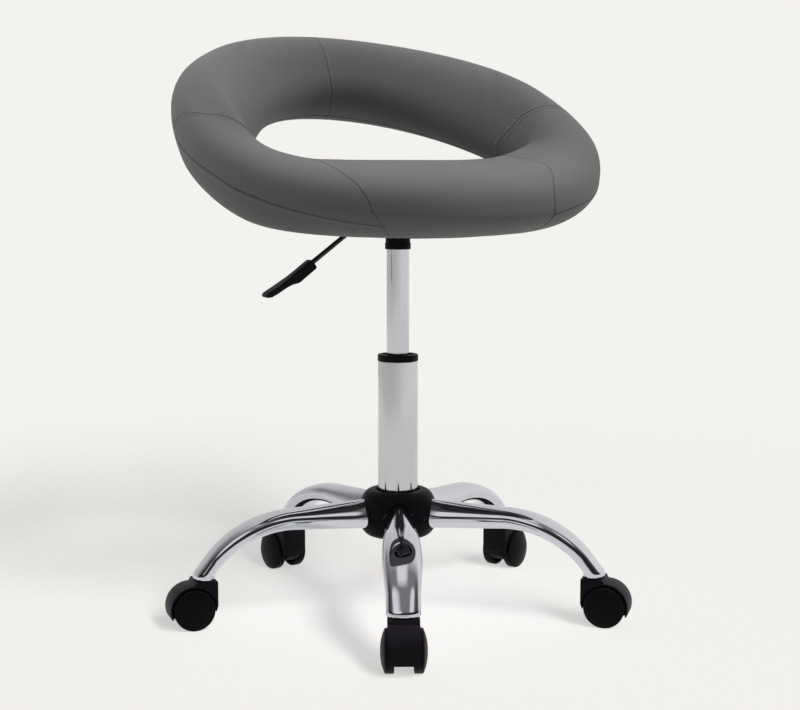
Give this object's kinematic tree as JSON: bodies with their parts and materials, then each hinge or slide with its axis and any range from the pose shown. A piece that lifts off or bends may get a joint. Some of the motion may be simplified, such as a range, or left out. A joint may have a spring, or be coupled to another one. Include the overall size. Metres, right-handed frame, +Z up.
{
  "type": "rolling work chair",
  "caption": "Rolling work chair: ring-shaped padded seat with raised back, gas lift with side lever, chrome star base on swivel casters.",
  "frame": {"origin": "on the floor under the column's axis", "axes": "+Z up along the column, the sitter faces -Y, the release lever is at -X"},
  "size_m": [0.5717, 0.5938, 0.7317],
  "materials": {
    "pu_cover": "grey grained polyurethane cover over foam",
    "plywood": "birch plywood",
    "black_steel": "black powder coat",
    "zinc_steel": "zinc plated",
    "chrome": "polished chrome plate",
    "black_plastic": "black satin moulded plastic",
    "wheel_nylon": "black nylon"
  },
  "bodies": {
    "base": {"column_tube": "chrome", "column_cap": "black_plastic", "guide_bush": "black_plastic", "column_foot": "zinc_steel", "hub_socket": "zinc_steel", "hub_cover_upper": "black_plastic", "hub_cover_lower": "black_plastic", "leg_1": "chrome", "leg_2": "chrome", "leg_3": "chrome", "leg_4": "chrome", "leg_5": "chrome", "caster_socket_1": "zinc_steel", "caster_socket_2": "zinc_steel", "caster_socket_3": "zinc_steel", "caster_socket_4": "zinc_steel", "caster_socket_5": "zinc_steel", "caster_stem_1": "zinc_steel", "caster_stem_2": "zinc_steel", "caster_stem_3": "zinc_steel", "caster_stem_4": "zinc_steel", "caster_stem_5": "zinc_steel"},
    "rod": {"piston_rod": "zinc_steel", "piston_head": "zinc_steel", "thrust_bearing": "zinc_steel", "rod_clip": "zinc_steel"},
    "seat": {"seat_cushion": "pu_cover", "seat_board": "plywood", "back_hoop": "black_steel", "tee_nuts": "zinc_steel", "mount_plate": "black_steel", "taper_socket": "black_steel", "plate_bolts": "black_steel", "lever_bush": "black_plastic", "pressure_tube": "chrome", "tube_gland": "black_plastic"},
    "lever": {"lever_rod": "black_steel", "lever_handle": "black_plastic"},
    "button": {"release_button": "zinc_steel"},
    "caster_1": {"caster_housing_1": "black_plastic", "caster_axle_1": "zinc_steel"},
    "left_wheel_1": {"wheel_left_1": "wheel_nylon"},
    "right_wheel_1": {"wheel_right_1": "wheel_nylon"},
    "caster_2": {"caster_housing_2": "black_plastic", "caster_axle_2": "zinc_steel"},
    "left_wheel_2": {"wheel_left_2": "wheel_nylon"},
    "right_wheel_2": {"wheel_right_2": "wheel_nylon"},
    "caster_3": {"caster_housing_3": "black_plastic", "caster_axle_3": "zinc_steel"},
    "left_wheel_3": {"wheel_left_3": "wheel_nylon"},
    "right_wheel_3": {"wheel_right_3": "wheel_nylon"},
    "caster_4": {"caster_housing_4": "black_plastic", "caster_axle_4": "zinc_steel"},
    "left_wheel_4": {"wheel_left_4": "wheel_nylon"},
    "right_wheel_4": {"wheel_right_4": "wheel_nylon"},
    "caster_5": {"caster_housing_5": "black_plastic", "caster_axle_5": "zinc_steel"},
    "left_wheel_5": {"wheel_left_5": "wheel_nylon"},
    "right_wheel_5": {"wheel_right_5": "wheel_nylon"}
  },
  "joints": [
    {"name": "seat_swivel", "type": "hinge", "parent": "base", "child": "rod", "pos_m": [0, 0, 0.1], "axis": [0, 0, 1], "continuous": true},
    {"name": "seat_lift", "type": "slide", "parent": "rod", "child": "seat", "axis": [0, 0, 1], "range_m": [-0.12, 0]},
    {"name": "lever_lift", "type": "hinge", "parent": "seat", "child": "lever", "pos_m": [-0.026, 0, 0.484], "axis": [0, 1, 0], "range_deg": [0, 7], "stiffness_Nm_per_rad": 2},
    {"name": "button_press", "type": "slide", "parent": "seat", "child": "button", "axis": [0, 0, -1], "range_m": [0, 0.0033]},
    {"name": "caster_1_swivel", "type": "hinge", "parent": "base", "child": "caster_1", "pos_m": [-0.10763, -0.22565, 0.05], "axis": [0, 0, 1], "continuous": true},
    {"name": "left_wheel_1_spin", "type": "hinge", "parent": "caster_1", "child": "left_wheel_1", "pos_m": [-0.11409, -0.23919, 0.025], "axis": [0.9026, -0.4305, 0], "continuous": true},
    {"name": "right_wheel_1_spin", "type": "hinge", "parent": "caster_1", "child": "right_wheel_1", "pos_m": [-0.11409, -0.23919, 0.025], "axis": [0.9026, -0.4305, 0], "continuous": true},
    {"name": "caster_2_swivel", "type": "hinge", "parent": "base", "child": "caster_2", "pos_m": [0.18134, -0.17209, 0.05], "axis": [0, 0, 1], "continuous": true},
    {"name": "left_wheel_2_spin", "type": "hinge", "parent": "caster_2", "child": "left_wheel_2", "pos_m": [0.19222, -0.18241, 0.025], "axis": [0.6884, 0.7254, 0], "continuous": true},
    {"name": "right_wheel_2_spin", "type": "hinge", "parent": "caster_2", "child": "right_wheel_2", "pos_m": [0.19222, -0.18241, 0.025], "axis": [0.6884, 0.7254, 0], "continuous": true},
    {"name": "caster_3_swivel", "type": "hinge", "parent": "base", "child": "caster_3", "pos_m": [0.2197, 0.11929, 0.05], "axis": [0, 0, 1], "continuous": true},
    {"name": "left_wheel_3_spin", "type": "hinge", "parent": "caster_3", "child": "left_wheel_3", "pos_m": [0.23289, 0.12645, 0.025], "axis": [-0.4772, 0.8788, 0], "continuous": true},
    {"name": "right_wheel_3_spin", "type": "hinge", "parent": "caster_3", "child": "right_wheel_3", "pos_m": [0.23289, 0.12645, 0.025], "axis": [-0.4772, 0.8788, 0], "continuous": true},
    {"name": "caster_4_swivel", "type": "hinge", "parent": "base", "child": "caster_4", "pos_m": [-0.04556, 0.24581, 0.05], "axis": [0, 0, 1], "continuous": true},
    {"name": "left_wheel_4_spin", "type": "hinge", "parent": "caster_4", "child": "left_wheel_4", "pos_m": [-0.04829, 0.26056, 0.025], "axis": [-0.9833, -0.1822, 0], "continuous": true},
    {"name": "right_wheel_4_spin", "type": "hinge", "parent": "caster_4", "child": "right_wheel_4", "pos_m": [-0.04829, 0.26056, 0.025], "axis": [-0.9833, -0.1822, 0], "continuous": true},
    {"name": "caster_5_swivel", "type": "hinge", "parent": "base", "child": "caster_5", "pos_m": [-0.24786, 0.03263, 0.05], "axis": [0, 0, 1], "continuous": true},
    {"name": "left_wheel_5_spin", "type": "hinge", "parent": "caster_5", "child": "left_wheel_5", "pos_m": [-0.26273, 0.03459, 0.025], "axis": [-0.1305, -0.9914, 0], "continuous": true},
    {"name": "right_wheel_5_spin", "type": "hinge", "parent": "caster_5", "child": "right_wheel_5", "pos_m": [-0.26273, 0.03459, 0.025], "axis": [-0.1305, -0.9914, 0], "continuous": true}
  ],
  "couplings": [
    {"joint": "button_press", "follows": "lever_lift", "m_per_rad": 0.026}
  ]
}
